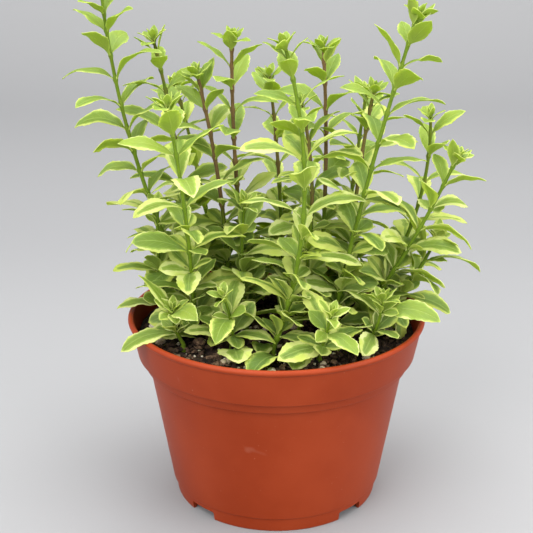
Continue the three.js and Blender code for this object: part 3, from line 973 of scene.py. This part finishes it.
# %% Stem skin
def stem_skin():
    r = Recipe("stem_skin")
    place = r.object_place()
    red = r.node("ShaderNodeAttribute", attribute_name="redness").outputs["Fac"]
    streaks = r.noise(240, 3, place)
    green = r.mix(streaks, (0.062, 0.118, 0.002), (0.155, 0.235, 0.008))
    brown = r.mix(streaks, (0.085, 0.045, 0.016), (0.200, 0.120, 0.045))
    mixed = r.step(r.math("MULTIPLY_ADD", r.math("SUBTRACT", streaks, 0.5), 0.5, red), 0.30, 0.75)
    hairs = r.noise(2600, 2, place)
    skin = r.mix(mixed, green, brown)
    skin = r.mix(r.math("MULTIPLY", r.step(hairs, 0.62, 0.72), 0.4), skin, (0.34, 0.42, 0.12))
    r.link(skin, r.shader.inputs["Base Color"])
    r.feed(r.shader.inputs["Roughness"], 0.62)
    r.feed(r.shader.inputs["Specular IOR Level"], 0.2)
    r.feed(r.shader.inputs["Sheen Weight"], 0.12)
    r.feed(r.shader.inputs["Sheen Roughness"], 0.4)
    r.bump(r.math("ADD", streaks, hairs), 0.35, 0.3 * MM)
    return r.material


# %% Bend the rods
STEM_SKIN = stem_skin()
STEM_SIDES = 10
STEM_STEP_MM = 2.2
ROOTED_MM = 18
ROOT_SHARE = 0.14
THINNEST = 0.68
NODE_SWELL = 0.42
SWELL_REACH_MM = 1.3


def stem_profile(stem):
    """The rod's section: x is its radius in mm and z its share of the length, below 0 in the mix."""
    joints = sorted({round(leaf["t"], 4) for leaf in foliage[stem.number]})
    profile = [Vector((0, 0, -ROOT_SHARE))]
    profile += [Vector((stem.radius, 0, -ROOT_SHARE)), Vector((stem.radius, 0, -0.02))]
    for t in np.linspace(0, 1, int(stem.length / STEM_STEP_MM)):
        swell = sum(math.exp(-(((t - j) * stem.length / SWELL_REACH_MM) ** 2)) for j in joints)
        taper = 1 if t < 1 else 0.7
        profile.append(Vector((stem.radius_at(t) * (THINNEST + NODE_SWELL * min(1, swell)) * taper, 0, t)))
    profile.append(Vector((0, 0, 1.004)))
    return profile


def stem_piece(stem):
    """A turned rod with a swelling at every pair of leaves, bent along the path and rooted in the mix."""
    bm = turned(stem_profile(stem), STEM_SIDES)
    redness = []
    for vert in bm.verts:
        x, y, t = vert.co
        origin, along, across, aside = stem.frame(min(1, max(0, t)))
        if t < 0:
            origin = Vector((stem.start.x, stem.start.y, COLLAR + t / ROOT_SHARE * ROOTED_MM))
            across, aside = Vector((1, 0, 0)), Vector((0, 1, 0))
        elif t > 1:
            origin = origin + along * 1.0
        vert.co = (origin + across * x + aside * y) * MM
        redness.append(stem.redness * min(1, max(0, (t - 0.25) / 0.3)))
    piece = finish_piece(f"shoot_{stem.number:02d}_stem", bm, [STEM_SKIN])
    piece.data.attributes.new("redness", "FLOAT", "POINT").data.foreach_set("value", redness)
    return piece


for stem in stems:
    settle(stem_piece(stem), "foliage", f"shoot_{stem.number:02d}")
print(f"{len(stems)} stems")

# %% [markdown]
# ## Crumbs, bark and perlite
# The top of the mix is loose: dark crumbs, short brown fibres, shreds of bark, white grains of perlite and
# a few pebbles. The grains gather at the front and the left, where watering washed them together. There
# are over a thousand pieces, and each has only a few faces, because the eye reads their number and not
# their shape.

# %% Rough little solids
RANDOM = random.Random(23)


def rough_lump(bm, place, size, stretch, roughness, seed, detail=1):
    """A faceted lump: an icosphere stretched, turned, and pushed in and out by noise."""
    heading = Matrix.Rotation(RANDOM.uniform(0, math.tau), 4, "Z")
    turn = heading @ Matrix.Rotation(RANDOM.uniform(-0.5, 0.5), 4, "X")
    stretched = turn @ Matrix.Diagonal((*stretch, 1))
    for vert in bmesh.ops.create_icosphere(bm, subdivisions=detail, radius=1.0)["verts"]:
        push = 1 + roughness * noise.noise(vert.co * 1.7 + Vector((seed * 3.1, seed * 1.7, seed)))
        vert.co = place + stretched @ vert.co * (push * size)


def matt_grain(name, dark, light, scale, roughness):
    r = Recipe(name)
    place = r.object_place()
    broad = r.noise(scale, 4, place)
    r.link(r.mix(r.step(broad, 0.3, 0.7), dark, light), r.shader.inputs["Base Color"])
    r.feed(r.shader.inputs["Roughness"], roughness)
    r.feed(r.shader.inputs["Specular IOR Level"], 0.25)
    r.bump(broad, 0.6, 0.4 * MM)
    return r.material


CRUMB = matt_grain("crumb", (0.010, 0.0065, 0.0045), (0.085, 0.050, 0.031), 300, 0.95)
BARK = matt_grain("bark", (0.035, 0.019, 0.012), (0.215, 0.130, 0.078), 700, 0.9)
PEBBLE = matt_grain("pebble", (0.20, 0.14, 0.085), (0.58, 0.48, 0.34), 420, 0.85)
PERLITE = matt_grain("perlite", (0.36, 0.30, 0.21), (0.70, 0.64, 0.52), 900, 0.9)


def on_mix(angle, away):
    """A place on the mix's surface in metres."""
    x, y = math.cos(angle) * away, math.sin(angle) * away
    return Vector((x, y, soil_height(x, y)))


def scattered(name, count, low, high, stretch, roughness, material, slot, sink, bias=0.0, detail=1):
    """Many lumps over the mix in one object; bias draws them towards the front left."""
    bm = bmesh.new()
    limit = RIM_RADIUS - 10 * MM
    for i in range(count):
        angle = RANDOM.uniform(0, math.tau)
        if RANDOM.random() < bias:
            angle = math.radians(-110 + RANDOM.gauss(0, 40))
        away = limit * math.sqrt(RANDOM.random())
        size = RANDOM.uniform(low, high) * MM
        place = on_mix(angle, away) + Vector((0, 0, size * (stretch[2] - sink)))
        rough_lump(bm, place, size, stretch, roughness, i * 0.37, detail)
    bmesh.ops.recalc_face_normals(bm, faces=bm.faces)
    return settle(finish_piece(name, bm, [material], 35), slot)


# %% Scatter them
scattered("crumbs", 1700, 0.5, 1.9, (1.1, 0.9, 0.75), 0.8, CRUMB, "potting_mix", 0.20)
scattered("bark_bits", 190, 0.6, 2.1, (1.7, 0.85, 0.5), 0.7, BARK, "bark", -0.3, 0.5)
scattered("perlite_bits", 150, 0.35, 1.2, (1.1, 0.95, 0.8), 0.5, PERLITE, "perlite", -0.4, 0.65)
scattered("pebbles", 22, 1.2, 2.5, (1.2, 0.95, 0.8), 0.5, PEBBLE, "perlite", -0.1, 0.8, 2)


def fibres(count):
    """Short bent threads that lie on the mix."""
    bm = bmesh.new()
    for i in range(count):
        start = on_mix(RANDOM.uniform(0, math.tau), (RIM_RADIUS - 12 * MM) * math.sqrt(RANDOM.random()))
        heading = RANDOM.uniform(0, math.tau)
        length = RANDOM.uniform(4, 11) * MM
        bend = RANDOM.uniform(-1.2, 1.2)
        rod = bmesh.ops.create_cone(
            bm, cap_ends=True, segments=5, radius1=0.22 * MM, radius2=0.12 * MM, depth=1.0,
        )["verts"]
        for vert in rod:
            share = vert.co.z + 0.5
            turn = heading + bend * share
            along = Vector((math.cos(turn), math.sin(turn), 0)) * length * share
            sideways = Vector((-math.sin(turn), math.cos(turn), 0)) * vert.co.x
            place = start + along + sideways
            lift = (0.9 + 0.8 * math.sin(3 * share)) * MM
            place.z = soil_height(place.x, place.y) + lift + vert.co.y
            vert.co = place
    bmesh.ops.recalc_face_normals(bm, faces=bm.faces)
    return settle(finish_piece("fibres", bm, [BARK]), "potting_mix")


fibres(160)


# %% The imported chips
def rough_chip(node, material, slot, stretch):
    """A rough lump in place of a packed chip, which fills the chip's own box."""
    low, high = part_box(node)
    bm = bmesh.new()
    bmesh.ops.create_icosphere(bm, subdivisions=3, radius=1.0)
    half, middle = (high - low) / 2, (high + low) / 2
    seed = sum(ord(letter) for letter in node)
    for vert in bm.verts:
        push = 1 + 0.35 * noise.fractal(vert.co * 1.6 + Vector((seed, 0, 0)), 1.0, 2.0, 3)
        vert.co = middle + vert.co * Vector((half.x, half.y, half.z * stretch)) * push
    return settle(finish_piece(node + "_rough", bm, [material], 40), slot, node)


for node in sorted(nodes):
    if node.startswith("bark_chip"):
        rough_chip(node, BARK, "bark", 0.8)
    elif node.startswith("perlite_grain"):
        rough_chip(node, PERLITE, "perlite", 1.0)
print("crumbs, fibres, bark and perlite on the mix")
